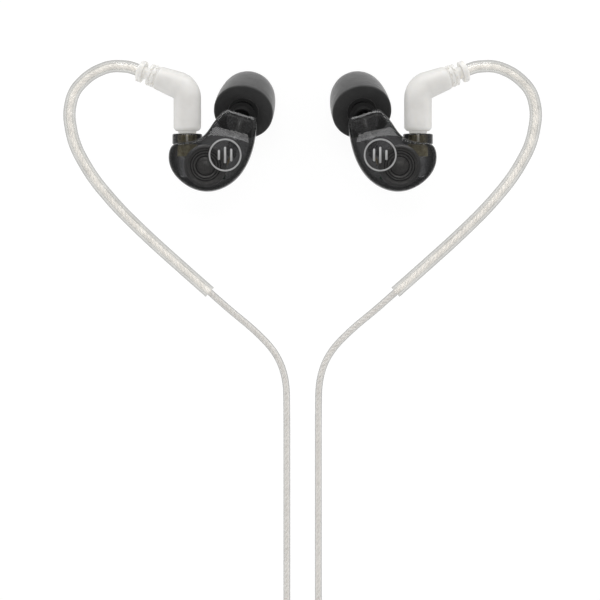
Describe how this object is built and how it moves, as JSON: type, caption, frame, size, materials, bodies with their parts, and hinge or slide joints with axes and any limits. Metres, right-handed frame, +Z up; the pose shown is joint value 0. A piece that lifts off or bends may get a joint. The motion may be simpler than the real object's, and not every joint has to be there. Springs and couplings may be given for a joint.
{
  "type": "in-ear monitors",
  "caption": "Pair of stage in-ear monitors: smoke-clear two-part shells, foam tips, swivelling detachable cables with formed ear hooks, slider, split and a stereo plug.",
  "frame": {"origin": "bottom centre of the box around the earpieces, plugs and ear hooks, on the surface they lie on", "axes": "+X across the pair, towards the wearer's left ear's side; +Y away from the plug, along the connector axes; +Z up, out of the face plates"},
  "size_m": [0.1062, 0.2104, 0.0171],
  "materials": {
    "smoke_shell": "smoke-tinted clear polycarbonate, polished, two glued halves",
    "silver_print": "thin silver print",
    "black_nozzle": "smoke-black moulded nozzle",
    "steel_mesh": "fine woven wax guard",
    "black_rubber": "soft black core tube",
    "black_foam": "charcoal slow-recovery foam with fine open pores",
    "brass": "plated brass, slightly dulled",
    "white_insulator": "white insulator",
    "gold_contact": "gold-plated contact",
    "steel": "pressed steel can",
    "diaphragm_film": "pressed film cone with a dome",
    "nickel_magnet": "nickel-plated magnet and yoke",
    "clear_hose": "clear flexible sound tube",
    "circuit_board": "solder-masked board with chip parts",
    "milky_moulding": "milky translucent moulding, satin",
    "spring_brass": "split spring ring",
    "clear_tube": "clear soft tube, formed to the ear",
    "cable_jacket": "clear jacket over twisted silver strands",
    "tie_strap": "black woven hook-and-loop strap",
    "black_housing": "black moulded plug housing",
    "gold_plate": "gold-plated plug contacts",
    "black_insulator": "black insulating rings"
  },
  "bodies": {
    "cable": {"right_plug_body": "milky_moulding", "right_strain_relief": "milky_moulding", "right_plug_barrel": "brass", "right_plug_insulator": "white_insulator", "right_plug_pin": "gold_contact", "right_hook_tube": "clear_tube", "right_hook_cable": "cable_jacket", "right_branch_cable": "cable_jacket", "left_plug_body": "milky_moulding", "left_strain_relief": "milky_moulding", "left_plug_barrel": "brass", "left_plug_insulator": "white_insulator", "left_plug_pin": "gold_contact", "left_hook_tube": "clear_tube", "left_hook_cable": "cable_jacket", "left_branch_cable": "cable_jacket", "y_split": "milky_moulding", "cable_coil": "cable_jacket", "coil_tie": "tie_strap", "main_cable": "cable_jacket", "jack_relief": "milky_moulding", "jack_housing": "black_housing", "jack_contacts": "gold_plate", "jack_insulators": "black_insulator"},
    "right_coupling": {"right_snap_ring": "spring_brass"},
    "right_earpiece": {"right_outer_shell": "smoke_shell", "right_inner_shell": "smoke_shell", "right_face_mark": "silver_print", "right_nozzle": "black_nozzle", "right_nozzle_mesh": "steel_mesh", "right_socket_body": "brass", "right_socket_insulator": "white_insulator", "right_socket_contact": "gold_contact", "right_driver_frame": "steel", "right_driver_diaphragm": "diaphragm_film", "right_driver_magnet": "nickel_magnet", "right_armature_driver": "steel", "right_sound_tube": "clear_hose", "right_crossover_board": "circuit_board"},
    "right_ear_tip": {"right_tip_core": "black_rubber", "right_tip_foam": "black_foam"},
    "left_coupling": {"left_snap_ring": "spring_brass"},
    "left_earpiece": {"left_outer_shell": "smoke_shell", "left_inner_shell": "smoke_shell", "left_face_mark": "silver_print", "left_nozzle": "black_nozzle", "left_nozzle_mesh": "steel_mesh", "left_socket_body": "brass", "left_socket_insulator": "white_insulator", "left_socket_contact": "gold_contact", "left_driver_frame": "steel", "left_driver_diaphragm": "diaphragm_film", "left_driver_magnet": "nickel_magnet", "left_armature_driver": "steel", "left_sound_tube": "clear_hose", "left_crossover_board": "circuit_board"},
    "left_ear_tip": {"left_tip_core": "black_rubber", "left_tip_foam": "black_foam"},
    "slider": {"chin_slider": "milky_moulding"}
  },
  "joints": [
    {"name": "right_swivel", "type": "hinge", "parent": "cable", "child": "right_coupling", "pos_m": [-0.0254, 0.0065, 0.0105], "axis": [0, 1, 0], "range_deg": [-170, 122]},
    {"name": "right_unplug", "type": "slide", "parent": "right_coupling", "child": "right_earpiece", "axis": [0, -1, 0], "range_m": [0, 0.006]},
    {"name": "right_tip_pull", "type": "slide", "parent": "right_earpiece", "child": "right_ear_tip", "axis": [0.138, 0.4806, -0.866], "range_m": [0, 0.009]},
    {"name": "left_swivel", "type": "hinge", "parent": "cable", "child": "left_coupling", "pos_m": [0.0254, 0.0065, 0.0105], "axis": [0, -1, 0], "range_deg": [-170, 122]},
    {"name": "left_unplug", "type": "slide", "parent": "left_coupling", "child": "left_earpiece", "axis": [0, -1, 0], "range_m": [0, 0.006]},
    {"name": "left_tip_pull", "type": "slide", "parent": "left_earpiece", "child": "left_ear_tip", "axis": [-0.138, 0.4806, -0.866], "range_m": [0, 0.009]},
    {"name": "slider_travel", "type": "slide", "parent": "cable", "child": "slider", "axis": [0, 1, 0], "range_m": [0, 0.038]}
  ]
}
